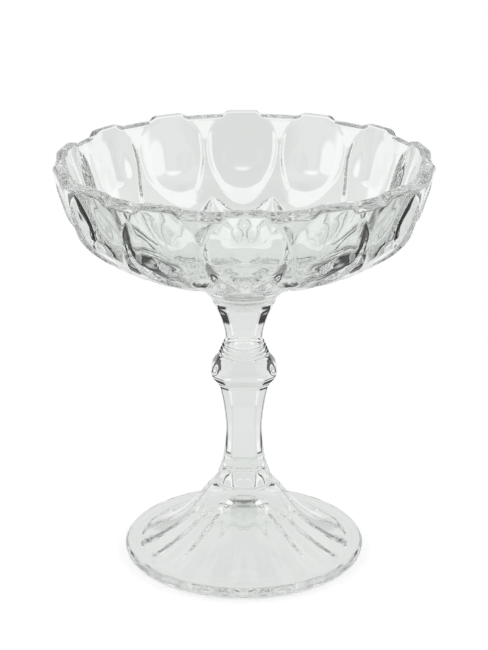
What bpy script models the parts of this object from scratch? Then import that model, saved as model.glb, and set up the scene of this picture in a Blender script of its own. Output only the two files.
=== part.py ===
"""Compote bowl of pressed glass: a panelled bowl and a fluted foot, stuck to a knopped stem.

Units are metres and +Z is up. The origin is the centre of the foot, on the table.
The front of the object faces -Y. Each piece is a pressing of its own, and the pieces
stand on each other, from the foot up, with the gap of a fused joint between them.
"""
import math

import bmesh
import bpy
from mathutils import Matrix, Vector

JOINT_GAP = 0.0003

# Foot: a hollow cone with a flat standing ring and flutes on its underside
FOOT_RADIUS = 0.056
FOOT_HEIGHT = 0.0333
SEAT_LEDGE = 0.0020
FOOT_EDGE_HEIGHT = 0.0052
FOOT_EDGE_ROUND = 0.0024
FOOT_BAND_WIDTH = 0.0055
FOOT_CONE_DROP = 0.0065
FOOT_CONE_SWEEP = 0.020
STANDING_RING_WIDTH = 0.0052
HOLLOW_TOP = 0.0200
HOLLOW_TOP_RADIUS = 0.0175
HOLLOW_TOP_CROWN = 0.0022
HOLLOW_SAG = 0.0018
FLUTES = 18
FLUTE_DEPTH = 0.0014

# Wafer between foot and stem
WAFER_THICKNESS = 0.0019
WAFER_BULGE = 0.0007

# Stem: four broad flats, with a narrow flat across each corner
STEM_LENGTH = 0.0619
STEM_BASE_RADIUS = 0.0130
STEM_FLARE_HEIGHT = 0.0100
STEM_FLARE_RADIUS = 0.0096
WAIST_RADIUS = 0.0084
SHAFT_TOP_RADIUS = 0.0109
SHAFT_TOP_DROP = 0.0155
KNOP_RADIUS = 0.0150
KNOP_DROP = 0.0074
KNOP_ROUND_SHARE = 1.07
BROAD_FLAT_SHARE = 0.60

# Ringed collar between stem and neck
COLLAR_HEIGHT = 0.0063
COLLAR_BASE_RADIUS = 0.0114
COLLAR_TOP_RADIUS = 0.0087
COLLAR_RINGS = 4
COLLAR_RING_SIZE = 0.0004

# Neck of the bowl, with the same flats as the stem
NECK_LENGTH = 0.0294
NECK_WAIST_RISE = 0.0060
NECK_WAIST_RADIUS = 0.0088
NECK_FLAT_RISE = 0.0150
NECK_FLAT_RADIUS = 0.0115
NECK_ROUND_RISE = 0.0215
NECK_ROUND_RADIUS = 0.0155
NECK_TOP_RADIUS = 0.0225
NECK_ROOT = 0.0050
NECK_ROOT_RADIUS = 0.0290
NECK_END_SHARE = 1.08

# Bowl: a turned blank with sunken panels, wedges under the rim and mitre cuts underneath
RIM_RADIUS = 0.0872
BOWL_DEPTH = 0.0570
BELLY_HEIGHT = 0.0320
BELLY_POWER = 1.7
WALL_FLARE = 0.0180
WALL_THICKNESS = 0.0082
FLOOR_THICKNESS = 0.0075
RIM_ROUND = 0.0012
BOWL_TURN = math.radians(0.65)

PANELS = 14
PANEL_DEPTH = 0.0026
PANEL_HALF_WIDTH = 0.0160
PANEL_ROUND_TOP = 0.0400
PANEL_ROUND_DROP = 0.0190
PANEL_WALL_RISE = 0.0014
PANEL_WALL_SLOPE = math.radians(36)
DISH_RADIUS = 0.0100
DISH_STRETCH = 1.36
DISH_DEPTH = 0.0010
DISH_DROP = 0.0220
TAB_HEIGHT = 0.0025
TAB_TOP_WIDTH = 0.0130
TAB_BASE_WIDTH = 0.0220
WEDGE_HEIGHT = 0.0150
WEDGE_DEPTH = 0.0032
MITRE_OUTER_INSET = 0.0212
MITRE_INNER_RADIUS = 0.0360
MITRE_HALF_ANGLE = math.radians(64)
MITRE_OPENING = 0.0060

GLASS_COLOUR = (0.92, 0.95, 0.94, 1.0)
GLASS_ROUGHNESS = 0.02
GLASS_IOR = 1.51

# How finely round forms are cut into faces
BOWL_STEPS = PANELS * 6
PANEL_STEPS = 12
FOOT_STEPS = FLUTES * 4
COLLAR_STEPS = 24
STEM_STEPS = 32
DISH_STEPS = 16
DISH_RINGS = 3
BELLY_STEPS = 9
SIDE_STEPS = 2
CONE_STEPS = 9
HOLLOW_STEPS = 8
CROWN_STEPS = 3
CURVE_STEPS = 5
ROUND_STEPS = 3
RING_STEPS = 4
WAFER_STEPS = 6
HALVINGS = 50
MERGE = 0.000001
CUT_MARGIN = 0.0008
SHARP_ANGLE = math.radians(28)

FOOT_SEAT_RADIUS = STEM_BASE_RADIUS + SEAT_LEDGE
MITRE_OUTER_RADIUS = RIM_RADIUS - MITRE_OUTER_INSET

# Heights, stacked from the table up
WAFER_BASE = FOOT_HEIGHT + JOINT_GAP
STEM_BASE = WAFER_BASE + WAFER_THICKNESS + JOINT_GAP
STEM_TOP = STEM_BASE + STEM_LENGTH
COLLAR_BASE = STEM_TOP + JOINT_GAP
NECK_BASE = COLLAR_BASE + COLLAR_HEIGHT + JOINT_GAP
BOWL_BOTTOM = NECK_BASE + NECK_LENGTH
RIM_TOP = BOWL_BOTTOM + BOWL_DEPTH

HALF_PITCH = math.pi / PANELS
FIRST_PANEL = BOWL_TURN + math.pi / 2
LEAN = math.atan2(WALL_FLARE, BOWL_DEPTH)
# A square turned in four steps has its corners on the profile, this far outside its flats
SQUARE_CORNER = math.sqrt(2)
CORNER_FLAT_RATIO = (1 + BROAD_FLAT_SHARE) / SQUARE_CORNER
CORNER_RATIO = math.hypot(1, BROAD_FLAT_SHARE)


def new_collection(name):
    collection = bpy.data.collections.new(name)
    bpy.context.scene.collection.children.link(collection)
    return collection


def clear_scene():
    for old in list(bpy.data.objects):
        bpy.data.objects.remove(old, do_unlink=True)


def glass(name):
    material = bpy.data.materials.new(name)
    material.use_nodes = True
    shader = material.node_tree.nodes["Principled BSDF"]
    shader.inputs["Base Color"].default_value = GLASS_COLOUR
    shader.inputs["Roughness"].default_value = GLASS_ROUGHNESS
    shader.inputs["Metallic"].default_value = 0.0
    shader.inputs["Transmission Weight"].default_value = 1.0
    shader.inputs["IOR"].default_value = GLASS_IOR
    return material


def add_object(name, mesh, collection):
    obj = bpy.data.objects.new(name, mesh)
    collection.objects.link(obj)
    return obj


def hide_tool(obj):
    obj.hide_render = True
    obj.display_type = "WIRE"
    return obj


def turned(name, profile, steps, collection, turn=0.0):
    """A solid turned round Z from (radius, height) points that start and end on the axis."""
    mesh = bpy.data.meshes.new(name)
    points = [(radius, 0.0, height) for radius, height in profile]
    mesh.from_pydata(points, [(i, i + 1) for i in range(len(points) - 1)], [])
    obj = add_object(name, mesh, collection)
    obj.rotation_euler.z = turn
    screw = obj.modifiers.new("Turn", "SCREW")
    screw.axis = "Z"
    screw.angle = math.tau
    screw.steps = steps
    screw.render_steps = steps
    screw.use_merge_vertices = True
    screw.merge_threshold = MERGE
    screw.use_smooth_shade = True
    return obj


def combine(obj, operation, tool):
    modifier = obj.modifiers.new(tool.name, "BOOLEAN")
    modifier.operation = operation
    modifier.solver = "EXACT"
    modifier.object = tool


def bake(obj):
    """Replaces an object's mesh by its evaluated one, in world space."""
    graph = bpy.context.evaluated_depsgraph_get()
    mesh = bpy.data.meshes.new_from_object(obj.evaluated_get(graph))
    mesh.transform(obj.matrix_world)
    obj.modifiers.clear()
    obj.data = mesh
    obj.matrix_world = Matrix.Identity(4)
    return obj


def finish_piece(obj, base, parent):
    """Bakes a piece and sets its origin on the axis, at its base."""
    bake(obj)
    obj.data.transform(Matrix.Translation((0.0, 0.0, -base)))
    obj.location.z = base
    obj.parent = parent
    obj.data.materials.clear()
    obj.data.materials.append(glass(obj.name + "_glass"))
    obj.data.shade_smooth()
    obj.data.set_sharp_from_angle(angle=SHARP_ANGLE)


def ring_of(name, mesh, first_angle, collection):
    """One tool mesh, made for azimuth 0, repeated round Z once for each panel."""
    pattern = bmesh.new()
    for k in range(PANELS):
        copy = mesh.copy()
        copy.transform(Matrix.Rotation(first_angle + 2 * k * HALF_PITCH, 4, "Z"))
        pattern.from_mesh(copy)
        bpy.data.meshes.remove(copy)
    ring = bpy.data.meshes.new(name)
    pattern.to_mesh(ring)
    pattern.free()
    return hide_tool(add_object(name, ring, collection))


def hull(name, points):
    """The convex solid round a few corner points."""
    solid = bmesh.new()
    for point in points:
        solid.verts.new(point)
    bmesh.ops.convex_hull(solid, input=solid.verts)
    bmesh.ops.recalc_face_normals(solid, faces=solid.faces)
    mesh = bpy.data.meshes.new(name)
    solid.to_mesh(mesh)
    solid.free()
    return mesh


def smooth_curve(stations):
    """Points of a Catmull-Rom curve through (radius, height) stations."""
    points = [Vector(p) for p in stations]
    ends = [2 * points[0] - points[1], *points, 2 * points[-1] - points[-2]]
    curve = []
    for a, b, c, d in zip(ends, ends[1:], ends[2:], ends[3:]):
        for k in range(CURVE_STEPS):
            t = k / CURVE_STEPS
            square = (2 * a - 5 * b + 4 * c - d) * t**2
            cube = (3 * b - a - 3 * c + d) * t**3
            curve.append(0.5 * (2 * b + (c - a) * t + square + cube))
    return [tuple(p) for p in [*curve, points[-1]]]


def bezier(a, b, c, d, steps):
    """Points of a cubic curve from a to d, drawn by b and c."""
    a, b, c, d = Vector(a), Vector(b), Vector(c), Vector(d)
    curve = []
    for k in range(steps + 1):
        t = k / steps
        s = 1 - t
        curve.append(tuple(a * s**3 + b * 3 * s**2 * t + c * 3 * s * t**2 + d * t**3))
    return curve


def arc(centre, radius, start, end, steps):
    """Points of a round from one angle to another, in degrees."""
    angles = [math.radians(start + (end - start) * k / steps) for k in range(steps + 1)]
    return [(centre[0] + radius * math.cos(a), centre[1] + radius * math.sin(a)) for a in angles]


def closed(points):
    """A side profile, closed to the axis at its first and last height."""
    return [(0.0, points[0][1]), *points, (0.0, points[-1][1])]


def widened(points, ratio):
    return [(radius * ratio, height) for radius, height in points]


def faceted(name, flats, rounding, collection, tools):
    """A bar of four broad flats on the flats profile, narrow corner flats, and rounded ends."""
    bar = turned(name, closed(widened(flats, SQUARE_CORNER)), 4, collection, turn=math.pi / 4)
    corner_profile = closed(widened(flats, CORNER_FLAT_RATIO * SQUARE_CORNER))
    corners = hide_tool(turned(name + "_corner_flats", corner_profile, 4, tools))
    rounds = hide_tool(turned(name + "_rounding", closed(rounding), STEM_STEPS, tools))
    combine(bar, "INTERSECT", corners)
    combine(bar, "INTERSECT", rounds)
    return bar


def blank_radius(height):
    """Outer radius of the turned bowl blank: a round belly under a straight flared side."""
    rise = min(max(height / BELLY_HEIGHT, 0.0), 1.0)
    belly = (1 - (1 - rise) ** 2) ** (1 / BELLY_POWER)
    return (RIM_RADIUS - WALL_FLARE) * belly + WALL_FLARE * height / BOWL_DEPTH


def inner_radius(height):
    """Radius of the bowl's inside at a height over its outer bottom."""
    rise = min(max((height - FLOOR_THICKNESS) / (BELLY_HEIGHT - FLOOR_THICKNESS), 0.0), 1.0)
    belly = (1 - (1 - rise) ** 2) ** (1 / BELLY_POWER)
    flare = WALL_FLARE * max(height - FLOOR_THICKNESS, 0.0) / (BOWL_DEPTH - FLOOR_THICKNESS)
    return (RIM_RADIUS - WALL_THICKNESS - WALL_FLARE) * belly + flare


def bowl_heights(low, top):
    """Heights up a bowl wall, close together where the belly turns."""
    belly = [low + (BELLY_HEIGHT - low) * (k / BELLY_STEPS) ** 2 for k in range(BELLY_STEPS)]
    side = [BELLY_HEIGHT + (top - BELLY_HEIGHT) * k / SIDE_STEPS for k in range(SIDE_STEPS + 1)]
    return belly + side


def bowl_blank(collection):
    inside = bowl_heights(FLOOR_THICKNESS, BOWL_DEPTH - RIM_ROUND)
    outside = bowl_heights(0.0, BOWL_DEPTH)
    profile = [(inner_radius(h), BOWL_BOTTOM + h) for h in inside]
    lip_radius = inner_radius(BOWL_DEPTH - RIM_ROUND) + RIM_ROUND
    profile += arc((lip_radius, RIM_TOP - RIM_ROUND), RIM_ROUND, 180, 90, ROUND_STEPS)[1:]
    profile += [(blank_radius(h), BOWL_BOTTOM + h) for h in reversed(outside)]
    return turned("bowl", profile, BOWL_STEPS, collection, turn=BOWL_TURN)


def panel_distance(height):
    """Distance of the panels' flat floors from the axis, at a height over the outer bottom."""
    return RIM_RADIUS - PANEL_DEPTH - WALL_FLARE * (1 - height / BOWL_DEPTH)


def panel_tool(tools):
    """Sunken panels that run out at the rim, with a round lower end and sloped walls."""
    out = Vector((math.cos(LEAN), 0.0, -math.sin(LEAN)))
    up = Vector((math.sin(LEAN), 0.0, math.cos(LEAN)))
    centre = Vector((panel_distance(PANEL_ROUND_TOP), 0.0, BOWL_BOTTOM + PANEL_ROUND_TOP))
    over_rim = BOWL_DEPTH - PANEL_ROUND_TOP + FLOOR_THICKNESS
    spread = PANEL_WALL_RISE / math.tan(PANEL_WALL_SLOPE)
    corners = []
    for rise, wider in ((0.0, 0.0), (PANEL_WALL_RISE, spread), (PANEL_DEPTH + CUT_MARGIN, 0.0)):
        half = PANEL_HALF_WIDTH + wider
        outline = [(-half, over_rim), (half, over_rim)]
        for k in range(PANEL_STEPS + 1):
            angle = math.pi * k / PANEL_STEPS
            outline.append((half * math.cos(angle), -(PANEL_ROUND_DROP + wider) * math.sin(angle)))
        for across, along in outline:
            corners.append(centre + out * rise + up * along + Vector((0.0, across, 0.0)))
    return ring_of("panels", hull("panel", corners), FIRST_PANEL, tools)


def wedge_tool(tools):
    """A cone of flats across the ridges between panels, which cut a wedge under each notch of the rim."""
    start = BOWL_DEPTH - WEDGE_HEIGHT
    slope = (RIM_RADIUS - WEDGE_DEPTH - blank_radius(start)) / WEDGE_HEIGHT
    low = -FLOOR_THICKNESS
    high = BOWL_DEPTH + FLOOR_THICKNESS
    low_distance, high_distance = (blank_radius(start) + slope * (h - start) for h in (low, high))
    solid = bmesh.new()
    bmesh.ops.create_cone(
        solid,
        cap_ends=True,
        segments=PANELS,
        radius1=low_distance / math.cos(HALF_PITCH),
        radius2=high_distance / math.cos(HALF_PITCH),
        depth=high - low,
    )
    mesh = bpy.data.meshes.new("rim_wedges")
    solid.to_mesh(mesh)
    solid.free()
    cone = hide_tool(add_object("rim_wedges", mesh, tools))
    cone.location.z = BOWL_BOTTOM + (low + high) / 2
    cone.rotation_euler.z = BOWL_TURN
    return cone


def dish_tool(tools):
    """Shallow round dishes, one in the middle of each panel."""
    ball = (DISH_RADIUS**2 + DISH_DEPTH**2) / (2 * DISH_DEPTH)
    centre = ball - DISH_DEPTH
    top_angle = -math.degrees(math.asin((centre - DISH_DEPTH / 2) / ball))
    profile = [(0.0, DISH_DEPTH / 2), *arc((0.0, centre), ball, top_angle, -90, DISH_RINGS)]
    plug = bake(turned("dish", profile, DISH_STEPS, tools))
    height = BOWL_DEPTH - DISH_DROP
    place = Matrix.Translation((panel_distance(height), 0.0, BOWL_BOTTOM + height))
    tilt = Matrix.Rotation(math.pi / 2 + LEAN, 4, "Y")
    stretch = Matrix.Diagonal((DISH_STRETCH, 1.0, 1.0, 1.0))
    plug.data.transform(place @ tilt @ stretch)
    ring = ring_of("dishes", plug.data, FIRST_PANEL, tools)
    bpy.data.objects.remove(plug, do_unlink=True)
    return ring


def notch_tool(tools):
    """Blocks with sloped ends that take the rim down between the tabs."""
    pitch = 2 * panel_distance(BOWL_DEPTH) * math.tan(HALF_PITCH)
    base = (pitch - TAB_BASE_WIDTH) / 2
    slope = (TAB_BASE_WIDTH - TAB_TOP_WIDTH) / 2 / TAB_HEIGHT
    top = base + slope * (TAB_HEIGHT + CUT_MARGIN)
    near = inner_radius(BOWL_DEPTH) - WALL_THICKNESS
    far = RIM_RADIUS + WALL_THICKNESS
    low = RIM_TOP - TAB_HEIGHT
    corners = []
    for x in (near, far):
        for side in (-1, 1):
            corners += [(x, side * base, low), (x, side * top, RIM_TOP + CUT_MARGIN)]
    return ring_of("rim_notches", hull("rim_notch", corners), FIRST_PANEL + HALF_PITCH, tools)


def blank_height(radius):
    """Height over the outer bottom at which the blank has this radius."""
    low, high = 0.0, BOWL_DEPTH
    for _ in range(HALVINGS):
        middle = (low + high) / 2
        low, high = (middle, high) if blank_radius(middle) < radius else (low, middle)
    return low


def on_blank(radius, azimuth):
    """A point of the blank's underside."""
    height = BOWL_BOTTOM + blank_height(radius)
    return Vector((radius * math.cos(azimuth), radius * math.sin(azimuth), height))


def mitre_tool(name, side, tools):
    """V cuts under the panels, each from a ridge to the next one, and inward on its way.

    The cuts of the two sides cross under each panel. A cut's bottom is a straight line that starts
    and ends on the round underside, so the cut is a leaf, deepest at its middle.
    """
    start = on_blank(MITRE_OUTER_RADIUS, -side * HALF_PITCH)
    end = on_blank(MITRE_INNER_RADIUS, side * HALF_PITCH)
    along = (end - start).normalized()
    downhill = on_blank(MITRE_INNER_RADIUS, 0.0) - on_blank(MITRE_OUTER_RADIUS, 0.0)
    outward = Vector((-downhill.z, 0.0, downhill.x))
    outward = (outward - along * outward.dot(along)).normalized()
    across = along.cross(outward) * math.tan(MITRE_HALF_ANGLE)
    corners = []
    for point in (start - along * MITRE_OPENING, end + along * MITRE_OPENING):
        corners.append(point)
        corners += [point + (outward + across * edge) * MITRE_OPENING for edge in (-1, 1)]
    return ring_of(name, hull(name + "_cut", corners), FIRST_PANEL, tools)


def neck(tools):
    """The stub under the bowl: flats below, and a round flare that runs into the bowl's bottom."""
    foot_of_neck = (COLLAR_TOP_RADIUS, NECK_BASE)
    waist = (NECK_WAIST_RADIUS, NECK_BASE + NECK_WAIST_RISE)
    middle = (NECK_FLAT_RADIUS, NECK_BASE + NECK_FLAT_RISE)
    shoulder = (NECK_ROUND_RADIUS, NECK_BASE + NECK_ROUND_RISE)
    top = (NECK_TOP_RADIUS, BOWL_BOTTOM)
    root = (NECK_ROOT_RADIUS, BOWL_BOTTOM + NECK_ROOT)
    flats = smooth_curve([root, top, shoulder, middle, waist, foot_of_neck])
    rounding = smooth_curve([
        root,
        top,
        shoulder,
        *widened([middle, waist], CORNER_RATIO),
        *widened([foot_of_neck], NECK_END_SHARE),
    ])
    return hide_tool(faceted("neck", flats, rounding, tools, tools))


def make_bowl(collection, tools, parent):
    bowl = bowl_blank(collection)
    combine(bowl, "DIFFERENCE", panel_tool(tools))
    combine(bowl, "INTERSECT", wedge_tool(tools))
    combine(bowl, "DIFFERENCE", dish_tool(tools))
    combine(bowl, "DIFFERENCE", notch_tool(tools))
    combine(bowl, "DIFFERENCE", mitre_tool("left_mitres", -1, tools))
    combine(bowl, "DIFFERENCE", mitre_tool("right_mitres", 1, tools))
    combine(bowl, "UNION", neck(tools))
    finish_piece(bowl, NECK_BASE, parent)


def make_collar(collection, parent):
    """A tapered collar with a stack of small round rings."""
    ring_height = COLLAR_HEIGHT / COLLAR_RINGS
    profile = []
    for k in range(COLLAR_RINGS):
        for step in range(RING_STEPS):
            part = step / RING_STEPS
            drop = (k + part) / COLLAR_RINGS
            radius = COLLAR_TOP_RADIUS + (COLLAR_BASE_RADIUS - COLLAR_TOP_RADIUS) * drop
            bulge = COLLAR_RING_SIZE * math.sin(math.pi * part)
            profile.append((radius + bulge, COLLAR_BASE + COLLAR_HEIGHT - ring_height * (k + part)))
    profile.append((COLLAR_BASE_RADIUS, COLLAR_BASE))
    collar = turned("ringed_collar", closed(profile), COLLAR_STEPS, collection)
    finish_piece(collar, COLLAR_BASE, parent)


def make_stem(collection, tools, parent):
    top = (COLLAR_BASE_RADIUS, STEM_TOP)
    knop = (KNOP_RADIUS, STEM_TOP - KNOP_DROP)
    shaft_top = (SHAFT_TOP_RADIUS, STEM_TOP - SHAFT_TOP_DROP)
    flare = (STEM_FLARE_RADIUS, STEM_BASE + STEM_FLARE_HEIGHT)
    waist = (WAIST_RADIUS, (shaft_top[1] + flare[1]) / 2)
    base = (STEM_BASE_RADIUS, STEM_BASE)
    flats = smooth_curve([top, knop, shaft_top, waist, flare, base])
    rounding = smooth_curve([
        top,
        *widened([knop], KNOP_ROUND_SHARE),
        *widened([shaft_top, waist, flare], CORNER_RATIO),
        base,
    ])
    stem = faceted("stem", flats, rounding, collection, tools)
    finish_piece(stem, STEM_BASE, parent)


def make_wafer(collection, parent):
    """A thin disc, squeezed out a little round its edge."""
    half = WAFER_THICKNESS / 2
    middle = WAFER_BASE + half
    edge = [
        (STEM_BASE_RADIUS + WAFER_BULGE * math.cos(angle), middle + half * math.sin(angle))
        for angle in (math.pi / 2 - math.pi * k / WAFER_STEPS for k in range(WAFER_STEPS + 1))
    ]
    wafer = turned("foot_wafer", closed(edge), COLLAR_STEPS, collection)
    finish_piece(wafer, WAFER_BASE, parent)


def foot_blank(collection):
    """A solid foot: its seat, hollow-sided cone, flat band and rounded edge, from the top down."""
    seat = (FOOT_SEAT_RADIUS, FOOT_HEIGHT)
    band = (FOOT_RADIUS - FOOT_BAND_WIDTH, FOOT_EDGE_HEIGHT)
    below_seat = (FOOT_SEAT_RADIUS + FOOT_CONE_DROP, FOOT_HEIGHT - FOOT_CONE_DROP)
    before_band = (band[0] - FOOT_CONE_SWEEP, FOOT_EDGE_HEIGHT + FOOT_CONE_DROP / 2)
    edge_centre = FOOT_RADIUS - FOOT_EDGE_ROUND
    side = bezier(seat, below_seat, before_band, band, CONE_STEPS)
    side += arc((edge_centre, FOOT_EDGE_HEIGHT - FOOT_EDGE_ROUND), FOOT_EDGE_ROUND, 90, 0, ROUND_STEPS)
    side += arc((edge_centre, FOOT_EDGE_ROUND), FOOT_EDGE_ROUND, 0, -90, ROUND_STEPS)
    return turned("foot", closed(side), FOOT_STEPS, collection)


def hollow_tool(tools):
    """The plunger that presses the foot's hollow: a crown, a slope with round flutes, and a mouth."""
    mouth = FOOT_RADIUS - FOOT_EDGE_ROUND - STANDING_RING_WIDTH
    span = mouth - HOLLOW_TOP_RADIUS
    rise = HOLLOW_TOP - HOLLOW_TOP_CROWN
    profile = [
        (HOLLOW_TOP_RADIUS * math.sin(a), rise + HOLLOW_TOP_CROWN * math.cos(a))
        for a in (k / CROWN_STEPS * math.pi / 2 for k in range(CROWN_STEPS))
    ]
    for k in range(HOLLOW_STEPS):
        t = k / HOLLOW_STEPS
        profile.append((HOLLOW_TOP_RADIUS + span * t, rise * (1 - t) - HOLLOW_SAG * math.sin(math.pi * t)))
    last_radius, last_height = profile[-1]
    flare = (mouth - last_radius) * CUT_MARGIN / last_height
    profile += [(mouth + flare, -CUT_MARGIN), (0.0, -CUT_MARGIN)]
    plunger = bake(hide_tool(turned("foot_hollow", profile, FOOT_STEPS, tools)))
    for vertex in plunger.data.vertices:
        along = (math.hypot(vertex.co.x, vertex.co.y) - HOLLOW_TOP_RADIUS) / span
        lobe = (1 + math.cos(FLUTES * math.atan2(vertex.co.x, -vertex.co.y))) / 2
        if 0.0 < along < 1.0:
            vertex.co.z += FLUTE_DEPTH * lobe * math.sqrt(math.sin(math.pi * along))
    return plunger


def make_foot(collection, tools, parent):
    foot = foot_blank(collection)
    combine(foot, "DIFFERENCE", hollow_tool(tools))
    finish_piece(foot, 0.0, parent)


def build():
    clear_scene()
    pieces = new_collection("compote_bowl")
    tools = new_collection("cutters")
    compote = add_object("compote", None, pieces)
    make_foot(pieces, tools, compote)
    make_wafer(pieces, compote)
    make_stem(pieces, tools, compote)
    make_collar(pieces, compote)
    make_bowl(pieces, tools, compote)


build()
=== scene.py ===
"""Clear pressed-glass compote in a white studio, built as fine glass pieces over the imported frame."""
import math

import bpy
import numpy as np
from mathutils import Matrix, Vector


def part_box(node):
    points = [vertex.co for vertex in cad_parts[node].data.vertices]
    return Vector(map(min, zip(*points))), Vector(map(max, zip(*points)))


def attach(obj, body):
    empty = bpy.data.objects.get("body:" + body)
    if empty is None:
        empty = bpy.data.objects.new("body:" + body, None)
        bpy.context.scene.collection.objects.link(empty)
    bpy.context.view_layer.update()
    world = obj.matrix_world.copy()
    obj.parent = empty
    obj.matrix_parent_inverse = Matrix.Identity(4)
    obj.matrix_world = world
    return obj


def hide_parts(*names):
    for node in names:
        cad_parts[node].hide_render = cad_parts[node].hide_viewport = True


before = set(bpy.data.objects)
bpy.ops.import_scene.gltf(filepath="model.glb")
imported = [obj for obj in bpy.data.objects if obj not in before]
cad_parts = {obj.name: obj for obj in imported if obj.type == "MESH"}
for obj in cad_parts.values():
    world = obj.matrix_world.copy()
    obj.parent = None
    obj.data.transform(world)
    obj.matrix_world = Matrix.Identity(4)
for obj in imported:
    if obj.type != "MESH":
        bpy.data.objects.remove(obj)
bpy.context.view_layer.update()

# Heights at which one piece of glass is fused to the next, in the middle of the frame's gaps
STACK = ("foot", "foot_wafer", "stem", "ringed_collar", "bowl")
FOOT_JOINT, STEM_JOINT, COLLAR_JOINT, NECK_JOINT = (
    (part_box(lower)[1].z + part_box(upper)[0].z) / 2 for lower, upper in zip(STACK, STACK[1:])
)

# Foot
FOOT_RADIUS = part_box("foot")[1].x
FOOT_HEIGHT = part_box("foot")[1].z
FOOT_SEAT_RADIUS = 0.0150
FOOT_EDGE_HEIGHT = 0.0052
FOOT_EDGE_ROUND = 0.0024
FOOT_BAND_WIDTH = 0.0055
FOOT_BAND_DIP = 0.0008
FOOT_CONE_DROP = 0.0065
FOOT_CONE_SWEEP = 0.020
STANDING_RING_WIDTH = 0.0052
# The hollow's side is a curve with two handles: one level with its tip, one (radius, height) at its side
HOLLOW_TOP = 0.0240
HOLLOW_TIP_REACH = 0.0150
HOLLOW_SIDE = (0.0270, 0.0085)
FLUTE_START = 0.0120
FLUTES = 18
FLUTE_DEPTH = 0.0016
FOOT_EDGE_CENTRE = FOOT_RADIUS - FOOT_EDGE_ROUND
HOLLOW_MOUTH = FOOT_EDGE_CENTRE - STANDING_RING_WIDTH

# Wafer, stem and collar
WAFER_RADIUS = 0.0130
WAFER_BULGE = 0.0007
STEM_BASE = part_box("stem")[0].z
STEM_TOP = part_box("stem")[1].z
STEM_FLARE_HEIGHT = 0.0100
STEM_FLARE_RADIUS = 0.0096
WAIST_RADIUS = 0.0084
SHAFT_TOP_RADIUS = 0.0109
SHAFT_TOP_DROP = 0.0155
KNOP_RADIUS = 0.0150
KNOP_DROP = 0.0074
# The round that limits the knop's corners, and half a broad flat, as shares of the flats' distance
KNOP_ROUND_SHARE = 1.15
BROAD_FLAT_SHARE = 0.60
FLAT_EDGE_ROUND = 0.0009
COLLAR_BASE_RADIUS = 0.0114
COLLAR_TOP_RADIUS = 0.0087
COLLAR_RINGS = 4
COLLAR_RING_SIZE = 0.0004

# Neck of the bowl
NECK_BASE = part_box("bowl")[0].z
NECK_WAIST_RISE = 0.0060
NECK_WAIST_RADIUS = 0.0088
NECK_FLAT_RISE = 0.0150
NECK_FLAT_RADIUS = 0.0115
NECK_ROUND_RISE = 0.0215
NECK_ROUND_RADIUS = 0.0155
NECK_TOP_RADIUS = 0.0225
NECK_ROOT = 0.0050
NECK_ROOT_RADIUS = 0.0290
NECK_END_SHARE = 1.08
NECK_FILLET = 0.0020
# How fast the flats draw away from the glass above the neck's shoulder
NECK_CLEARING = 8.0
# Radii of the fine rings on the flare
FLARE_RINGS = (0.0168, 0.0190)
FLARE_RING_WIDTH = 0.0016
FLARE_RING_SIZE = 0.0004

# Bowl
RIM_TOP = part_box("bowl")[1].z
BOWL_DEPTH = 0.0570
BOWL_BOTTOM = RIM_TOP - BOWL_DEPTH
RIM_RADIUS = 0.0880
BELLY_HEIGHT = 0.0320
BELLY_POWER = 1.7
WALL_FLARE = 0.0180
WALL_THICKNESS = 0.0082
FLOOR_THICKNESS = 0.0075
RIM_ROUND = 0.0024
RIM_INNER_ROUND = 0.0012
BOWL_TURN = math.radians(0.65)
PANELS = 14
PANEL_DEPTH = 0.0026
PANEL_HALF_WIDTH = 0.0175
PANEL_ROUND_TOP = 0.0400
PANEL_ROUND_DROP = 0.0255
PANEL_WALL_SLOPE = math.radians(33.5)
DISH_RADIUS = 0.0100
DISH_STRETCH = 1.36
DISH_DEPTH = 0.0010
DISH_DROP = 0.0220
TAB_HEIGHT = 0.0026
# Share of a notch's depth that reaches the rim's inner edge
TAB_INNER_SHARE = 0.45
TAB_TOP_WIDTH = 0.0130
TAB_BASE_WIDTH = 0.0220
WEDGE_HEIGHT = 0.0150
WEDGE_DEPTH = 0.0032
MITRE_OUTER_RADIUS = 0.0660
MITRE_INNER_RADIUS = 0.0360
MITRE_HALF_ANGLE = math.radians(64)
EDGE_ROUND = 0.0004
DISH_EDGE_ROUND = 0.0006
PANEL_EDGE_ROUND = 0.0005
DEEPEST_CUT = 0.008
# Over this stretch above the bowl's bottom, the search for a cut turns from the blank's normal to level
LEVEL_SEARCH_START = 0.010
LEVEL_SEARCH_RISE = 0.020

PITCH = math.tau / PANELS
FIRST_PANEL = BOWL_TURN + math.pi / 2
LEAN = math.atan2(WALL_FLARE, BOWL_DEPTH)
CORNER_FLAT_RATIO = (1 + BROAD_FLAT_SHARE) / math.sqrt(2)
CORNER_RATIO = math.hypot(1, BROAD_FLAT_SHARE)

# Fineness of the meshes
PANEL_COLUMNS = 48
COARSE_PANEL_COLUMNS = 12
RIDGE_CROWDING = 0.6
# Heights over the bowl's bottom between which the underside's rows lie, under the side's and over the neck's
UNDERSIDE_SPAN = (-0.0020, 0.0195)
NECK_ROWS = 64
UNDERSIDE_ROWS = 58
SIDE_ROWS = 46
RIM_ANGLES = np.radians([22.5, 45.0, 67.5, 90.0])
RIM_SHARES = (0.25, 0.50, 0.75)
INSIDE_ROWS = 44
INSIDE_FINE_ROWS = 6
STEM_COLUMNS = 192
STEM_ROWS = 170
COLLAR_RING_ROWS = 12
WAFER_ROWS = 13
FLUTE_COLUMNS = 24
HOLLOW_ROWS = 64
HOLLOW_TIP_SHARE = 0.04
STANDING_RING_ROWS = 6
FOOT_SIDE_ROWS = 80
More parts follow.
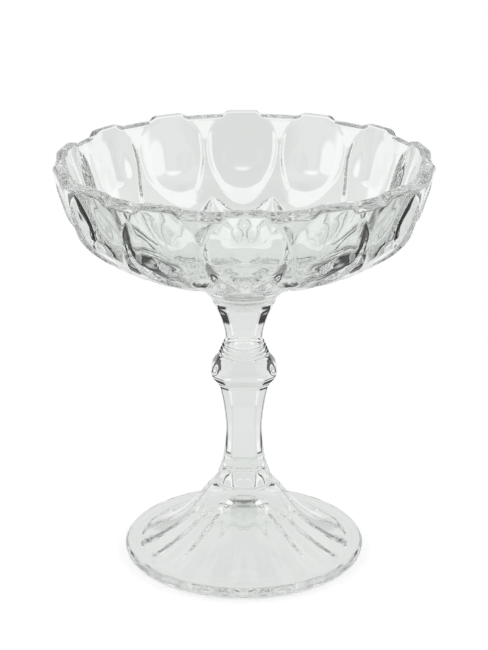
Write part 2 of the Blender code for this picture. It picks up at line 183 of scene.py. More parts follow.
# Points of the dense curves from which the rows are taken
BLANK_STEPS = 4000
UNDERSIDE_STEPS = 1500
SIDE_STEPS = 200
INSIDE_STEPS = 3000
HALVINGS = 40
GRADIENT_STEP = 0.00002
SHARP_ANGLE = math.radians(40)


def soft_max(first, second, blend):
    """The larger of two fields, with the edge where they cross rounded off."""
    near = np.maximum(blend - np.abs(first - second), 0.0)
    return np.maximum(first, second) + near**2 / (4 * blend)


def soft_min(first, second, blend):
    return -soft_max(-first, -second, blend)


def smooth_step(value):
    value = np.clip(value, 0.0, 1.0)
    return value * value * (3 - 2 * value)


def wrap(angle, pitch):
    """Angle from the nearest of the directions that repeat every pitch."""
    return (angle + pitch / 2) % pitch - pitch / 2


def smooth_curve(stations, steps=40):
    """Dense points of a smooth cubic curve through (radius, height) stations."""
    points = np.array(stations)
    ends = np.vstack([2 * points[0] - points[1], points, 2 * points[-1] - points[-2]])
    t = np.linspace(0, 1, steps, endpoint=False)[:, None]
    spans = []
    for a, b, c, d in zip(ends, ends[1:], ends[2:], ends[3:]):
        square = (2 * a - 5 * b + 4 * c - d) * t**2
        cube = (3 * b - a - 3 * c + d) * t**3
        spans.append(0.5 * (2 * b + (c - a) * t + square + cube))
    return np.vstack([*spans, points[-1:]])


def bezier(a, b, c, d, steps=60):
    """Points of a curve from a to d, with b and c as its handles."""
    a, b, c, d = (np.array(p) for p in (a, b, c, d))
    t = np.linspace(0, 1, steps)[:, None]
    s = 1 - t
    return a * s**3 + b * 3 * s**2 * t + c * 3 * s * t**2 + d * t**3


def arc(centre, radius, start, end, steps=8):
    """Points of an arc between two angles in degrees."""
    angles = np.radians(np.linspace(start, end, steps + 1))
    return np.column_stack([centre[0] + radius * np.cos(angles), centre[1] + radius * np.sin(angles)])


def resample(points, count):
    """The same curve with its points spread evenly along it."""
    length = np.concatenate([[0.0], np.cumsum(np.linalg.norm(np.diff(points, axis=0), axis=1))])
    even = np.linspace(0, length[-1], count)
    return np.column_stack([np.interp(even, length, points[:, k]) for k in range(2)])


def widened(points, ratio):
    """The same profile with its radii scaled."""
    return [(radius * ratio, height) for radius, height in points]


def at_azimuth(radius, height, azimuth):
    """Points at these radii, heights and azimuths round the axis."""
    radius, height, azimuth = np.broadcast_arrays(radius, height, azimuth)
    return np.column_stack([radius * np.cos(azimuth), radius * np.sin(azimuth), height])


def join_rings(first, count, second, next_count):
    """Faces between two closed rings of vertices; the larger count is a multiple of the smaller."""
    if count == next_count:
        return [
            (first + k, first + (k + 1) % count, second + (k + 1) % count, second + k) for k in range(count)
        ]
    if count > next_count:
        return [face[::-1] for face in join_rings(second, next_count, first, count)]
    split = next_count // count
    half = split // 2
    faces = []
    for k in range(count):
        near = first + k
        far = first + (k + 1) % count
        fine = [second + (k * split + j) % next_count for j in range(split + 1)]
        faces += [(near, fine[j + 1], fine[j]) for j in range(half)]
        faces.append((near, far, fine[half]))
        faces += [(far, fine[j + 1], fine[j]) for j in range(half, split)]
    return faces


def add_piece(name, rings, material, joint_rings=(), first_tip=None, last_tip=None, normals=()):
    """A closed glass piece from rings of points, each joined to the next.

    joint_rings are the rings (first or last) that are filled flat, as a fused joint to the next piece.
    A tip is the height at which the first or last ring closes on the axis. Normals, if given, are those
    of the first rings, one list per ring, and keep the edges of cuts crisp.
    """
    starts = np.concatenate([[0], np.cumsum([len(ring) for ring in rings])])
    vertices = np.vstack(rings)
    faces = []
    for k in range(len(rings) - 1):
        faces += join_rings(int(starts[k]), len(rings[k]), int(starts[k + 1]), len(rings[k + 1]))
    for tip, ring in ((first_tip, 0), (last_tip, len(rings) - 1)):
        if tip is None:
            continue
        start = int(starts[ring])
        count = len(rings[ring])
        vertices = np.vstack([vertices, [0.0, 0.0, tip]])
        fan = [(start + k, start + (k + 1) % count, len(vertices) - 1) for k in range(count)]
        faces += fan if ring else [face[::-1] for face in fan]
    glass_faces = len(faces)
    for ring in joint_rings:
        cap = list(range(int(starts[ring]), int(starts[ring]) + len(rings[ring])))
        faces.append(cap[::-1] if ring == 0 else cap)
    mesh = bpy.data.meshes.new(name)
    mesh.from_pydata(vertices.tolist(), [], faces)
    mesh.materials.append(material)
    mesh.materials.append(JOINT)
    for polygon in mesh.polygons:
        polygon.use_smooth = polygon.index < glass_faces
        polygon.material_index = int(polygon.index >= glass_faces)
    mesh.set_sharp_from_angle(angle=SHARP_ANGLE)
    if normals:
        known = np.vstack(normals)
        found = np.array([normal.vector[:] for normal in mesh.vertex_normals])
        found[: len(known)] = known
        mesh.normals_split_custom_set_from_vertices(found.tolist())
    piece = bpy.data.objects.new(name, mesh)
    bpy.context.scene.collection.objects.link(piece)
    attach(piece, "root")
    return piece


# Materials


def node(tree, kind, **values):
    """A new node with these settings."""
    made = tree.nodes.new(kind)
    for key, value in values.items():
        setattr(made, key, value)
    return made


GLASS_TINT = (0.957, 0.981, 0.962)
GLASS_IOR = 1.5
WAVE_DETAIL = 1.0
POLISH_SCALE = 35.0
POLISH_DETAIL = 3.0
POLISH_ROUGHNESS = 0.004


def glass(name, wave_scale, wave_height):
    """Clear glass with the faint waves and polish marks that a press mould leaves."""
    material = bpy.data.materials.new(name)
    material.use_nodes = True
    tree = material.node_tree
    shader = tree.nodes["Principled BSDF"]
    shader.inputs["Base Color"].default_value = (*GLASS_TINT, 1.0)
    shader.inputs["Transmission Weight"].default_value = 1.0
    shader.inputs["IOR"].default_value = GLASS_IOR
    place = node(tree, "ShaderNodeTexCoord")
    waves = node(tree, "ShaderNodeTexNoise")
    waves.inputs["Scale"].default_value = wave_scale
    waves.inputs["Detail"].default_value = WAVE_DETAIL
    bump = node(tree, "ShaderNodeBump")
    bump.inputs["Strength"].default_value = 1.0
    bump.inputs["Distance"].default_value = wave_height
    tree.links.new(place.outputs["Object"], waves.inputs["Vector"])
    tree.links.new(waves.outputs["Fac"], bump.inputs["Height"])
    tree.links.new(bump.outputs["Normal"], shader.inputs["Normal"])
    polish = node(tree, "ShaderNodeTexNoise")
    polish.inputs["Scale"].default_value = POLISH_SCALE
    polish.inputs["Detail"].default_value = POLISH_DETAIL
    spread = node(tree, "ShaderNodeMapRange")
    spread.inputs["To Min"].default_value = 0.0
    spread.inputs["To Max"].default_value = POLISH_ROUGHNESS
    tree.links.new(place.outputs["Object"], polish.inputs["Vector"])
    tree.links.new(polish.outputs["Fac"], spread.inputs["Value"])
    tree.links.new(spread.outputs["Result"], shader.inputs["Roughness"])
    return material


def fused_joint():
    """The inside of a fused joint, where glass runs into glass and nothing shows."""
    material = bpy.data.materials.new("fused_joint")
    material.use_nodes = True
    tree = material.node_tree
    tree.nodes.remove(tree.nodes["Principled BSDF"])
    clear = node(tree, "ShaderNodeBsdfTransparent")
    tree.links.new(clear.outputs["BSDF"], tree.nodes["Material Output"].inputs["Surface"])
    return material


JOINT = fused_joint()
BOWL_GLASS = glass("bowl_glass", wave_scale=60.0, wave_height=0.00003)
STEM_GLASS = glass("stem_glass", wave_scale=80.0, wave_height=0.00002)
FOOT_GLASS = glass("foot_glass", wave_scale=70.0, wave_height=0.00005)


# Bowl


def blank_radius(height):
    """Radius of the uncut outside at a height over the bowl's bottom."""
    rise = np.clip(height / BELLY_HEIGHT, 0.0, 1.0)
    belly = (1 - (1 - rise) ** 2) ** (1 / BELLY_POWER)
    return (RIM_RADIUS - WALL_FLARE) * belly + WALL_FLARE * height / BOWL_DEPTH


def inner_radius(height):
    """Radius of the inside at a height over the bowl's bottom."""
    over_floor = np.maximum(height - FLOOR_THICKNESS, 0.0)
    rise = np.clip(over_floor / (BELLY_HEIGHT - FLOOR_THICKNESS), 0.0, 1.0)
    belly = (1 - (1 - rise) ** 2) ** (1 / BELLY_POWER)
    flare = WALL_FLARE * over_floor / (BOWL_DEPTH - FLOOR_THICKNESS)
    return (RIM_RADIUS - WALL_THICKNESS - WALL_FLARE) * belly + flare


def panel_distance(height):
    """Distance of a panel's floor from the axis, which follows the belly."""
    return blank_radius(height) - PANEL_DEPTH


def wedge_distance(height):
    """Distance of a wedge's floor from the axis: it deepens up to the rim."""
    start = BOWL_DEPTH - WEDGE_HEIGHT
    slope = (WALL_FLARE * WEDGE_HEIGHT / BOWL_DEPTH - WEDGE_DEPTH) / WEDGE_HEIGHT
    return blank_radius(start) + slope * (height - start)


def blank_height(radius):
    """Height over the bowl's bottom at which the uncut outside has this radius."""
    heights = np.linspace(0, BOWL_DEPTH, BLANK_STEPS)
    return np.interp(radius, blank_radius(heights), heights)


def neck_curves():
    """Profiles of the neck's flats and of the round that limits its corners, from the joint up."""
    end = (COLLAR_TOP_RADIUS, NECK_BASE)
    waist = (NECK_WAIST_RADIUS, NECK_BASE + NECK_WAIST_RISE)
    middle = (NECK_FLAT_RADIUS, NECK_BASE + NECK_FLAT_RISE)
    shoulder = (NECK_ROUND_RADIUS, NECK_BASE + NECK_ROUND_RISE)
    top = (NECK_TOP_RADIUS, BOWL_BOTTOM)
    root = (NECK_ROOT_RADIUS, BOWL_BOTTOM + NECK_ROOT)
    flats = smooth_curve([end, waist, middle, shoulder, top, root])
    rounds = smooth_curve(
        [*widened([end], NECK_END_SHARE), *widened([waist, middle], CORNER_RATIO), shoulder, top, root]
    )
    return flats, rounds


NECK_FLATS, NECK_ROUNDS = neck_curves()


def outer_profile():
    """The uncut outside of neck and bowl, from the joint up to the rim."""
    waist_end = NECK_BASE + NECK_FLAT_RISE
    neck = NECK_ROUNDS[NECK_ROUNDS[:, 1] < waist_end]
    belly_top = blank_radius(BELLY_HEIGHT)
    radius = np.linspace(neck[-1, 0], belly_top, UNDERSIDE_STEPS)[1:-1]
    flare = np.interp(radius, NECK_ROUNDS[:, 0], NECK_ROUNDS[:, 1])
    last_slope = NECK_ROUNDS[-1] - NECK_ROUNDS[-2]
    beyond = NECK_ROUNDS[-1, 1] + (radius - NECK_ROUNDS[-1, 0]) * last_slope[1] / last_slope[0]
    flare = np.where(radius > NECK_ROUNDS[-1, 0], beyond, flare)
    belly = BOWL_BOTTOM + blank_height(radius)
    under = np.column_stack([radius, soft_min(flare, belly, NECK_FILLET)])
    for ring in FLARE_RINGS:
        share = np.clip((radius - ring) / FLARE_RING_WIDTH, -0.5, 0.5)
        under[:, 1] -= FLARE_RING_SIZE * np.cos(math.pi * share)
    heights = np.linspace(BELLY_HEIGHT, BOWL_DEPTH, SIDE_STEPS)
    side = np.column_stack([blank_radius(heights), BOWL_BOTTOM + heights])
    start = [(neck[0, 0], NECK_JOINT)]
    return np.vstack([start, neck, under, side])


def mitre_field(radius, panel_angle, height):
    """How far a point lies in the V cuts that cross under a panel and its two neighbours.

    A cut's bottom is a straight line from the ridge at one side of a panel to the ridge at the other,
    further in, and both its ends lie on the round underside.
    """
    outer = np.array([MITRE_OUTER_RADIUS, blank_height(MITRE_OUTER_RADIUS)])
    inner = np.array([MITRE_INNER_RADIUS, blank_height(MITRE_INNER_RADIUS)])
    downhill = inner - outer
    field = np.full_like(radius, -np.inf)
    for neighbour in (-1, 0, 1):
        angle = panel_angle - neighbour * PITCH
        points = at_azimuth(radius, height, angle)
        for side in (-1, 1):
            start = at_azimuth(outer[0], outer[1], -side * PITCH / 2)[0]
            end = at_azimuth(inner[0], inner[1], side * PITCH / 2)[0]
            along = (end - start) / np.linalg.norm(end - start)
            outward = np.array([-downhill[1], 0.0, downhill[0]])
            outward = outward - along * (outward @ along)
            outward /= np.linalg.norm(outward)
            rise = (points - start) @ outward
            across = np.abs((points - start) @ np.cross(along, outward))
            cut = rise * math.sin(MITRE_HALF_ANGLE) - across * math.cos(MITRE_HALF_ANGLE)
            field = np.maximum(field, cut)
    return np.minimum(field, radius - NECK_ROOT_RADIUS)


def cut_field(points):
    """How far a point lies outside the surfaces cut into the blank: panels, wedges, dishes and mitres."""
    x, y, z = points.T
    radius = np.hypot(x, y)
    azimuth = np.arctan2(y, x)
    height = z - BOWL_BOTTOM
    panel_angle = wrap(azimuth - FIRST_PANEL, PITCH)
    ridge_angle = wrap(azimuth - FIRST_PANEL - PITCH / 2, PITCH)
    across = radius * np.sin(panel_angle)
    out = radius * np.cos(panel_angle)
    ridge_out = radius * np.cos(ridge_angle)

    floor = (out - panel_distance(height)) * math.cos(LEAN)
    round_off = np.minimum(height - PANEL_ROUND_TOP, 0.0) / PANEL_ROUND_DROP
    inside = PANEL_HALF_WIDTH * (1 - np.hypot(across / PANEL_HALF_WIDTH, round_off))
    sunk = blank_radius(height) - radius
    wall = inside * math.sin(PANEL_WALL_SLOPE) - sunk * math.cos(PANEL_WALL_SLOPE)
    panel = np.minimum(soft_min(floor, wall, PANEL_EDGE_ROUND), inside)
    wedge = ridge_out - wedge_distance(height)
    field = soft_max(panel, wedge, EDGE_ROUND)

    ball = (DISH_RADIUS**2 + DISH_DEPTH**2) / (2 * DISH_DEPTH)
    dish_height = BOWL_DEPTH - DISH_DROP
    out_from = out - panel_distance(dish_height)
    up_from = height - dish_height
    normal = out_from * math.cos(LEAN) - up_from * math.sin(LEAN) - (ball - DISH_DEPTH)
    along = (out_from * math.sin(LEAN) + up_from * math.cos(LEAN)) / DISH_STRETCH
    dish = ball - np.sqrt(normal**2 + along**2 + across**2)
    field = soft_max(field, dish, DISH_EDGE_ROUND)

    field = soft_max(field, mitre_field(radius, panel_angle, height), EDGE_ROUND)

    flat_distance = np.interp(z, NECK_FLATS[:, 1], NECK_FLATS[:, 0])
    flat_distance = flat_distance + NECK_CLEARING * np.maximum(z - NECK_BASE - NECK_ROUND_RISE, 0.0)
    broad = radius * np.cos(wrap(azimuth, math.pi / 2)) - flat_distance
    corner = radius * np.cos(wrap(azimuth - math.pi / 4, math.pi / 2)) - flat_distance * CORNER_FLAT_RATIO
    return soft_max(field, soft_max(broad, corner, FLAT_EDGE_ROUND), EDGE_ROUND)


def cut_back(points, inward, blank_normal):
    """Moves points of the blank inward to where the cuts leave the glass, by halving an interval.

    Gives the points and the normals there, which are the cuts' own where they leave nothing of the blank.
    """
    near = np.full(len(points), -EDGE_ROUND)
    far = np.full(len(points), DEEPEST_CUT)
    for _ in range(HALVINGS):
        depth = (near + far) / 2
        outside = soft_max(cut_field(points + inward * depth[:, None]), -depth, EDGE_ROUND) > 0
        near = np.where(outside, depth, near)
        far = np.where(outside, far, depth)
    points = points + inward * depth[:, None]
    share = np.clip(0.5 + (cut_field(points) + depth) / (2 * EDGE_ROUND), 0.0, 1.0)[:, None]
    steps = np.eye(3) * GRADIENT_STEP
    slope = np.column_stack([cut_field(points + step) - cut_field(points - step) for step in steps])
    normal = slope / (2 * GRADIENT_STEP) * share + blank_normal * (1 - share)
    return points, normal / np.linalg.norm(normal, axis=1)[:, None]


def panel_azimuths(columns):
    """Columns round the bowl, crowded towards the ridges between panels."""
    u = np.linspace(-1, 1, columns, endpoint=False)
    within = (u + RIDGE_CROWDING / math.pi * np.sin(math.pi * u)) * PITCH / 2
    return (FIRST_PANEL + np.arange(PANELS)[:, None] * PITCH + within).ravel()


def rim_drop(azimuth):
    """How far the rim's outer edge lies under the tabs' tops: nothing on a tab, all of it in a notch."""
    across = np.abs(panel_distance(BOWL_DEPTH) * np.tan(wrap(azimuth - FIRST_PANEL, PITCH)))
    slope = (TAB_BASE_WIDTH - TAB_TOP_WIDTH) / 2
    return TAB_HEIGHT * smooth_step((across - TAB_TOP_WIDTH / 2) / slope)


def rim_lift(height):
    """Share of the rim's drop that the wall takes on at a height: none on the belly, all at the rim."""
    return smooth_step((height - BOWL_BOTTOM - BELLY_HEIGHT) / (BOWL_DEPTH - BELLY_HEIGHT))


def bowl_outside(fine, coarse):
    """Rings of the cut outside, from the joint up to the rim, and the normals there."""
    profile = outer_profile()
    tangent = np.gradient(profile, axis=0)
    tangent /= np.linalg.norm(tangent, axis=1)[:, None]
    first, last = np.searchsorted(profile[:, 1], BOWL_BOTTOM + np.array(UNDERSIDE_SPAN))
    rings = []
    normals = []
    for part, columns, rows in (
        (profile[:first], coarse, NECK_ROWS),
        (profile[first:last], fine, UNDERSIDE_ROWS),
        (profile[last:], fine, SIDE_ROWS),
    ):
        for radius, height in resample(part, rows):
            lift = rim_lift(height)
            level = height - (rim_drop(columns) + RIM_ROUND) * lift
            if lift > 0:
                radius = blank_radius(level - BOWL_BOTTOM)
            out = np.interp(level, profile[:, 1], tangent[:, 1])
            up = -np.interp(level, profile[:, 1], tangent[:, 0])
            steep = smooth_step((height - BOWL_BOTTOM - LEVEL_SEARCH_START) / LEVEL_SEARCH_RISE)
            inward = -at_azimuth(out * (1 - steep) + steep, up * (1 - steep), columns)
            inward /= np.linalg.norm(inward, axis=1)[:, None]
            blank = at_azimuth(radius, level, columns)
            ring, normal = cut_back(blank, inward, at_azimuth(out, up, columns))
            rings.append(ring)
            normals.append(normal)
    return rings, normals


def bowl_rim(outer, columns):
    """Rings over the rim: its round outer edge, its top and its round inner edge."""
    outer_top = RIM_TOP - rim_drop(columns)
    inner_top = RIM_TOP - rim_drop(columns) * TAB_INNER_SHARE
    inner = inner_radius(inner_top - RIM_INNER_ROUND - BOWL_BOTTOM)
    rings = []
    for angle in RIM_ANGLES:
        radius = outer - RIM_ROUND * (1 - math.cos(angle))
        rings.append(at_azimuth(radius, outer_top - RIM_ROUND * (1 - math.sin(angle)), columns))
    for share in RIM_SHARES:
        radius = (outer - RIM_ROUND) * (1 - share) + (inner + RIM_INNER_ROUND) * share
        rings.append(at_azimuth(radius, outer_top * (1 - share) + inner_top * share, columns))
    for angle in RIM_ANGLES[::-1]:
        radius = inner + RIM_INNER_ROUND * (1 - math.cos(angle))
        rings.append(at_azimuth(radius, inner_top - RIM_INNER_ROUND * (1 - math.sin(angle)), columns))
    return rings


def bowl_inside(fine, coarse):
    """Rings of the smooth inside, from the rim down to the floor."""
    heights = FLOOR_THICKNESS + (BOWL_DEPTH - FLOOR_THICKNESS) * np.linspace(1, 0, INSIDE_STEPS) ** 2
    stations = resample(np.column_stack([inner_radius(heights), BOWL_BOTTOM + heights]), INSIDE_ROWS)
    rings = []
    for row, (_, height) in enumerate(stations[:-1]):
        columns = fine if row < INSIDE_FINE_ROWS else coarse
        drop = rim_drop(columns) * TAB_INNER_SHARE + RIM_INNER_ROUND
        level = height - drop * rim_lift(height)
        rings.append(at_azimuth(inner_radius(level - BOWL_BOTTOM), level, columns))
    return rings


def make_bowl():
    """The pressed bowl with its cut outside, tabbed rim, smooth inside and neck."""
    fine = panel_azimuths(PANEL_COLUMNS)
    coarse = panel_azimuths(COARSE_PANEL_COLUMNS)
    rings, normals = bowl_outside(fine, coarse)
    outer = np.hypot(rings[-1][:, 0], rings[-1][:, 1])
    rings += bowl_rim(outer, fine) + bowl_inside(fine, coarse)
    floor = BOWL_BOTTOM + FLOOR_THICKNESS
    bowl = add_piece("glass_bowl", rings, BOWL_GLASS, joint_rings=(0,), last_tip=floor, normals=normals)
    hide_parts("bowl")


# Stem, collar and wafer


def section(azimuth, flat_distance, round_radius):
    """Radius of a square with cut corners and rounded edges, no larger than its round."""
    broad = flat_distance / np.cos(wrap(azimuth, math.pi / 2))
    corner = flat_distance * CORNER_FLAT_RATIO / np.cos(wrap(azimuth - math.pi / 4, math.pi / 2))
    return soft_min(soft_min(broad, corner, FLAT_EDGE_ROUND), round_radius, FLAT_EDGE_ROUND)


def make_stem():
    """Broad and narrow flats by turns, from a flared base over a waisted shaft to the knop."""
    base = (WAFER_RADIUS, STEM_BASE)
    flare = (STEM_FLARE_RADIUS, STEM_BASE + STEM_FLARE_HEIGHT)
    shaft_top = (SHAFT_TOP_RADIUS, STEM_TOP - SHAFT_TOP_DROP)
    waist = (WAIST_RADIUS, (shaft_top[1] + flare[1]) / 2)
    knop = (KNOP_RADIUS, STEM_TOP - KNOP_DROP)
    top = (COLLAR_BASE_RADIUS, STEM_TOP)
    flats = smooth_curve([base, flare, waist, shaft_top, knop, top])
    rounds = smooth_curve([
        base, *widened([flare, waist, shaft_top], CORNER_RATIO), *widened([knop], KNOP_ROUND_SHARE), top
    ])
    columns = np.linspace(0, math.tau, STEM_COLUMNS, endpoint=False)
    rings = []
    for height in np.linspace(STEM_JOINT, COLLAR_JOINT, STEM_ROWS):
        flat = np.interp(height, flats[:, 1], flats[:, 0])
        limit = np.interp(height, rounds[:, 1], rounds[:, 0])
        rings.append(at_azimuth(section(columns, flat, limit), height, columns))
    stem = add_piece("glass_stem", rings, STEM_GLASS, joint_rings=(0, len(rings) - 1))
    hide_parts("stem")


def make_collar():
    """A short taper with rings round it, between the knop and the neck."""
    columns = np.linspace(0, math.tau, STEM_COLUMNS, endpoint=False)
    rings = []
    for share in np.linspace(0, 1, COLLAR_RINGS * COLLAR_RING_ROWS + 1):
        radius = COLLAR_BASE_RADIUS + (COLLAR_TOP_RADIUS - COLLAR_BASE_RADIUS) * share
        bulge = COLLAR_RING_SIZE * abs(math.sin(math.pi * COLLAR_RINGS * share))
        height = COLLAR_JOINT + (NECK_JOINT - COLLAR_JOINT) * share
        rings.append(at_azimuth(radius + bulge, height, columns))
    collar = add_piece("glass_collar", rings, STEM_GLASS, joint_rings=(0, len(rings) - 1))
    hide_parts("ringed_collar")


def make_wafer():
    """A thin disc with a bulging edge, between the foot and the stem."""
    columns = np.linspace(0, math.tau, STEM_COLUMNS, endpoint=False)
    rings = []
    for angle in np.linspace(-math.pi / 2, math.pi / 2, WAFER_ROWS):
        radius = WAFER_RADIUS + WAFER_BULGE * math.cos(angle)
        height = (FOOT_JOINT + STEM_JOINT) / 2 + (STEM_JOINT - FOOT_JOINT) / 2 * math.sin(angle)
        rings.append(at_azimuth(radius, height, columns))
    wafer = add_piece("glass_wafer", rings, STEM_GLASS, joint_rings=(0, len(rings) - 1))
    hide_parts("foot_wafer")


# Foot


def hollow_height(radius, azimuth):
    """Height of the foot's fluted underside: a cone with a round tip, and flutes that widen outwards."""
    profile = bezier((0.0, HOLLOW_TOP), (HOLLOW_TIP_REACH, HOLLOW_TOP), HOLLOW_SIDE, (HOLLOW_MOUTH, 0.0))
    height = np.interp(radius, profile[:, 0], profile[:, 1])
    along = min(max((radius - FLUTE_START) / (HOLLOW_MOUTH - FLUTE_START), 0.0), 1.0)
    lobe = (1 + np.cos(FLUTES * (azimuth + math.pi / 2))) / 2
    depth = FLUTE_DEPTH * radius / HOLLOW_MOUTH * math.sqrt(math.sin(math.pi * along))
    return height + depth * lobe


def make_foot():
    """A swept cone with a band round its edge, a fluted hollow and a flat standing ring."""
    columns = np.linspace(0, math.tau, FLUTES * FLUTE_COLUMNS, endpoint=False)
    band = (FOOT_RADIUS - FOOT_BAND_WIDTH, FOOT_EDGE_HEIGHT - FOOT_BAND_DIP)
    seat = (FOOT_SEAT_RADIUS, FOOT_HEIGHT)
    below_seat = (FOOT_SEAT_RADIUS + FOOT_CONE_DROP, FOOT_HEIGHT - FOOT_CONE_DROP)
    before_band = (band[0] - FOOT_CONE_SWEEP, FOOT_EDGE_HEIGHT + FOOT_CONE_DROP / 2)
    side = np.vstack([
        arc((FOOT_EDGE_CENTRE, FOOT_EDGE_ROUND), FOOT_EDGE_ROUND, -90, 0),
        arc((FOOT_EDGE_CENTRE, FOOT_EDGE_HEIGHT - FOOT_EDGE_ROUND), FOOT_EDGE_ROUND, 0, 90),
        bezier(seat, below_seat, before_band, band)[::-1],
    ])
    rings = []
    for share in np.linspace(HOLLOW_TIP_SHARE, 1, HOLLOW_ROWS):
        radius = HOLLOW_MOUTH * share
        rings.append(at_azimuth(radius, hollow_height(radius, columns), columns))
    standing_ring = np.linspace(HOLLOW_MOUTH, FOOT_EDGE_CENTRE, STANDING_RING_ROWS)[1:-1]
    rings += [at_azimuth(radius, 0.0, columns) for radius in standing_ring]
    rings += [at_azimuth(radius, height, columns) for radius, height in resample(side, FOOT_SIDE_ROWS)]
    rings += [at_azimuth(WAFER_RADIUS, FOOT_JOINT, columns)]
    foot = add_piece("glass_foot", rings, FOOT_GLASS, joint_rings=(len(rings) - 1,), first_tip=HOLLOW_TOP)
    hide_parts("foot")


make_bowl()
make_stem()
make_collar()
make_wafer()
make_foot()


# Studio


def math_node(tree, operation, *inputs):
    """Output of a Math node whose inputs are sockets or numbers."""
    made = node(tree, "ShaderNodeMath", operation=operation)
    for socket, value in zip(made.inputs, inputs):
        if isinstance(value, bpy.types.NodeSocket):
            tree.links.new(value, socket)
        else:
            socket.default_value = value
    return made.outputs[0]


def within(tree, angle, low, high, soft):
    """Mask that is 1 between two angles in degrees and fades to 0 over the soft width at each end."""
    masks = []
    for none, full in ((low - soft / 2, low + soft / 2), (high + soft / 2, high - soft / 2)):
        ramp = node(tree, "ShaderNodeMapRange", interpolation_type="SMOOTHSTEP")
        tree.links.new(angle, ramp.inputs["Value"])
        ramp.inputs["From Min"].default_value = math.radians(none)
        ramp.inputs["From Max"].default_value = math.radians(full)
        masks.append(ramp.outputs["Result"])
    return math_node(tree, "MULTIPLY", *masks)


# Zones of the studio, each laid over those before it: azimuth to either side of straight behind (0 to 180)
# and elevation, from and to, then softness, all in degrees, and the light. A bound out of range is none.
WHITE_WALLS = 0.98
ZONES = (
    (-90, 30, 0, 60, 4, 0.74),  # upper backdrop
    (18, 36, -30, 5, 4, 0.84),  # ends of the lower backdrop
    (-90, 8, -20.7, 16, 2, 0.79),  # middle of the backdrop
    (20, 34, 1, 14, 3, 0.05),  # dark gap over the backdrop's ends
    (35, 146, -49, -28, 6, 0.03),  # dark floor at the sides
    (33, 39, -34, 16, 3, 0.03),  # first dark strip in the side wall
    (57, 79, -34, 16, 6, 0.03),  # second dark strip
    (101, 123, -34, 16, 6, 0.03),  # third dark strip
    (146, 270, 5, 90, 10, 0.12),  # dim room in front
    (-90, 270, 62, 120, 8, 0.25),  # dim ceiling
    (-90, 30, -75, -40, 4, 0.20),  # floor behind
    (35, 146, -75, -50, 4, 0.30),  # floor at the sides, closer in
    (22, 40, -56, -37, 4, 0.04),  # dark corners of the floor behind
)


def make_world():
    """White walls, a grey backdrop behind, dark strips and floor at the sides and a dim room in front."""
    world = bpy.data.worlds.new("white_studio")
    world.use_nodes = True
    bpy.context.scene.world = world
    tree = world.node_tree
    background = tree.nodes["Background"]
    direction = node(tree, "ShaderNodeTexCoord").outputs["Generated"]
    axes = node(tree, "ShaderNodeSeparateXYZ")
    tree.links.new(direction, axes.inputs["Vector"])
    turn = math_node(tree, "ARCTAN2", axes.outputs["X"], axes.outputs["Y"])
    azimuth = math_node(tree, "ABSOLUTE", turn)
    elevation = math_node(tree, "ARCSINE", axes.outputs["Z"])
    light = node(tree, "ShaderNodeValue").outputs["Value"]
    light.default_value = WHITE_WALLS
    for near, far, low, high, soft, level in ZONES:
        beside = within(tree, azimuth, near, far, soft)
        mask = math_node(tree, "MULTIPLY", beside, within(tree, elevation, low, high, soft))
        mix = node(tree, "ShaderNodeMix")
        tree.links.new(mask, mix.inputs["Factor"])
        tree.links.new(light, mix.inputs["A"])
        mix.inputs["B"].default_value = level
        light = mix.outputs["Result"]
    path = node(tree, "ShaderNodeLightPath")
    seen = node(tree, "ShaderNodeMix")
    tree.links.new(path.outputs["Is Camera Ray"], seen.inputs["Factor"])
    tree.links.new(light, seen.inputs["A"])
    seen.inputs["B"].default_value = 1.0
    tree.links.new(seen.outputs["Result"], background.inputs["Strength"])
    background.inputs["Color"].default_value = (1.0, 1.0, 1.0, 1.0)


TABLE_DROP = 0.0003
TABLE_RADIUS = 0.30
TABLE_SIDES = 96
TABLE_WHITE = 0.90
TABLE_ROUGHNESS = 0.9
# Light that the table adds for the camera, so that it shows white
TABLE_LIFT = 0.50
# The card is painted shade: a grey glowing sheet for the table in the shadow of the glass. It reaches far
# behind the foot within its spread, and close to the foot in its notches (degrees)
# Glow of the card, the painted shade level of the shadowed table as the glass shows it
CARD_SHADE_LEVEL = 0.78
CARD_NEAR = 0.058
CARD_WIDE = 0.075
CARD_NOTCHES = ((24, 40), (52, 82), (98, 128))
CARD_FAR = 0.34
CARD_SPREAD = math.radians(24)


def make_table():
    """A white table that shows white to the camera and keeps the shadow of the glass."""
    mesh = bpy.data.meshes.new("table")
    turns = np.linspace(0, math.tau, TABLE_SIDES, endpoint=False)
    mesh.from_pydata(at_azimuth(TABLE_RADIUS, -TABLE_DROP, turns).tolist(), [], [range(TABLE_SIDES)])
    material = bpy.data.materials.new("table_white")
    material.use_nodes = True
    tree = material.node_tree
    shader = tree.nodes["Principled BSDF"]
    shader.inputs["Base Color"].default_value = (TABLE_WHITE, TABLE_WHITE, TABLE_WHITE, 1.0)
    shader.inputs["Roughness"].default_value = TABLE_ROUGHNESS
    shader.inputs["Specular IOR Level"].default_value = 0.0
    shader.inputs["Emission Color"].default_value = (1.0, 1.0, 1.0, 1.0)
    path = node(tree, "ShaderNodeLightPath")
    lift = math_node(tree, "MULTIPLY", path.outputs["Is Camera Ray"], TABLE_LIFT)
    tree.links.new(lift, shader.inputs["Emission Strength"])
    mesh.materials.append(material)
    table = bpy.data.objects.new("table", mesh)
    table.visible_transmission = False
    table.visible_glossy = False
    bpy.context.scene.collection.objects.link(table)


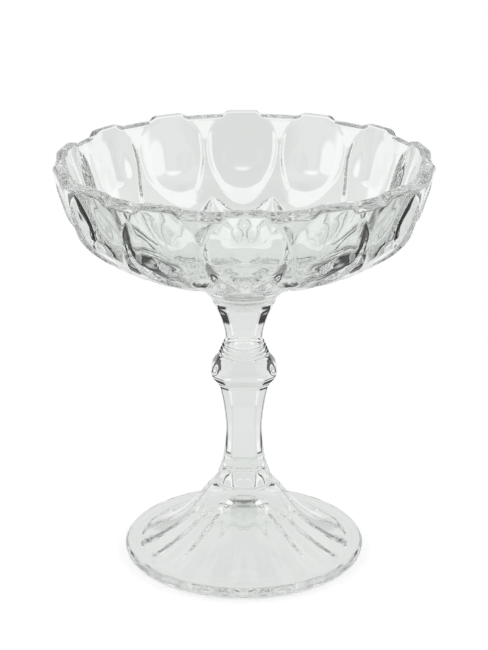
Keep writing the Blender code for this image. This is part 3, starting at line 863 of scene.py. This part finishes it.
def make_shade_card():
    """Painted shade: a grey glowing card under the foot and behind it, which only the glass shows, standing
    in for the table in the shadow of the glass.
    """
    turns = np.linspace(0, math.tau, TABLE_SIDES, endpoint=False)
    behind = np.abs(wrap(turns - math.pi / 2, math.tau))
    reach = np.where(behind < CARD_SPREAD, CARD_FAR, CARD_WIDE)
    for near, far in CARD_NOTCHES:
        reach[(behind > math.radians(near)) & (behind < math.radians(far))] = CARD_NEAR
    outline = at_azimuth(reach, -TABLE_DROP / 2, turns)
    mesh = bpy.data.meshes.new("shade_card")
    mesh.from_pydata(outline.tolist(), [], [range(TABLE_SIDES)])
    material = bpy.data.materials.new("painted_table_shade")
    material.use_nodes = True
    tree = material.node_tree
    tree.nodes.remove(tree.nodes["Principled BSDF"])
    # The card is no lamp: its glow is painted shade of the table
    glow = node(tree, "ShaderNodeEmission")
    glow.inputs["Strength"].default_value = CARD_SHADE_LEVEL
    tree.links.new(glow.outputs["Emission"], tree.nodes["Material Output"].inputs["Surface"])
    mesh.materials.append(material)
    shade_card = bpy.data.objects.new("shade_card", mesh)
    shade_card.visible_camera = False
    shade_card.visible_diffuse = False
    shade_card.visible_shadow = False
    bpy.context.scene.collection.objects.link(shade_card)


CAMERA_SENSOR = 36.0
CAMERA_LENS = 112.95
CAMERA_PLACE = (0.0, -0.8726, 0.4355)
CAMERA_DOWN_DEGREES = 20.38
GLASS_BOUNCES = 32
MIRROR_BOUNCES = 16


def make_camera():
    """The photograph's view, from the front and a little above."""
    data = bpy.data.cameras.new("camera")
    data.sensor_fit = "VERTICAL"
    data.sensor_height = CAMERA_SENSOR
    data.lens = CAMERA_LENS
    camera = bpy.data.objects.new("camera", data)
    camera.location = CAMERA_PLACE
    camera.rotation_euler = (math.radians(90 - CAMERA_DOWN_DEGREES), 0.0, 0.0)
    bpy.context.scene.collection.objects.link(camera)
    bpy.context.scene.camera = camera


make_world()
make_table()
make_shade_card()
make_camera()
scene = bpy.context.scene
scene.view_settings.view_transform = "Standard"
scene.cycles.max_bounces = GLASS_BOUNCES
scene.cycles.glossy_bounces = MIRROR_BOUNCES
scene.cycles.transmission_bounces = GLASS_BOUNCES
scene.cycles.transparent_max_bounces = GLASS_BOUNCES
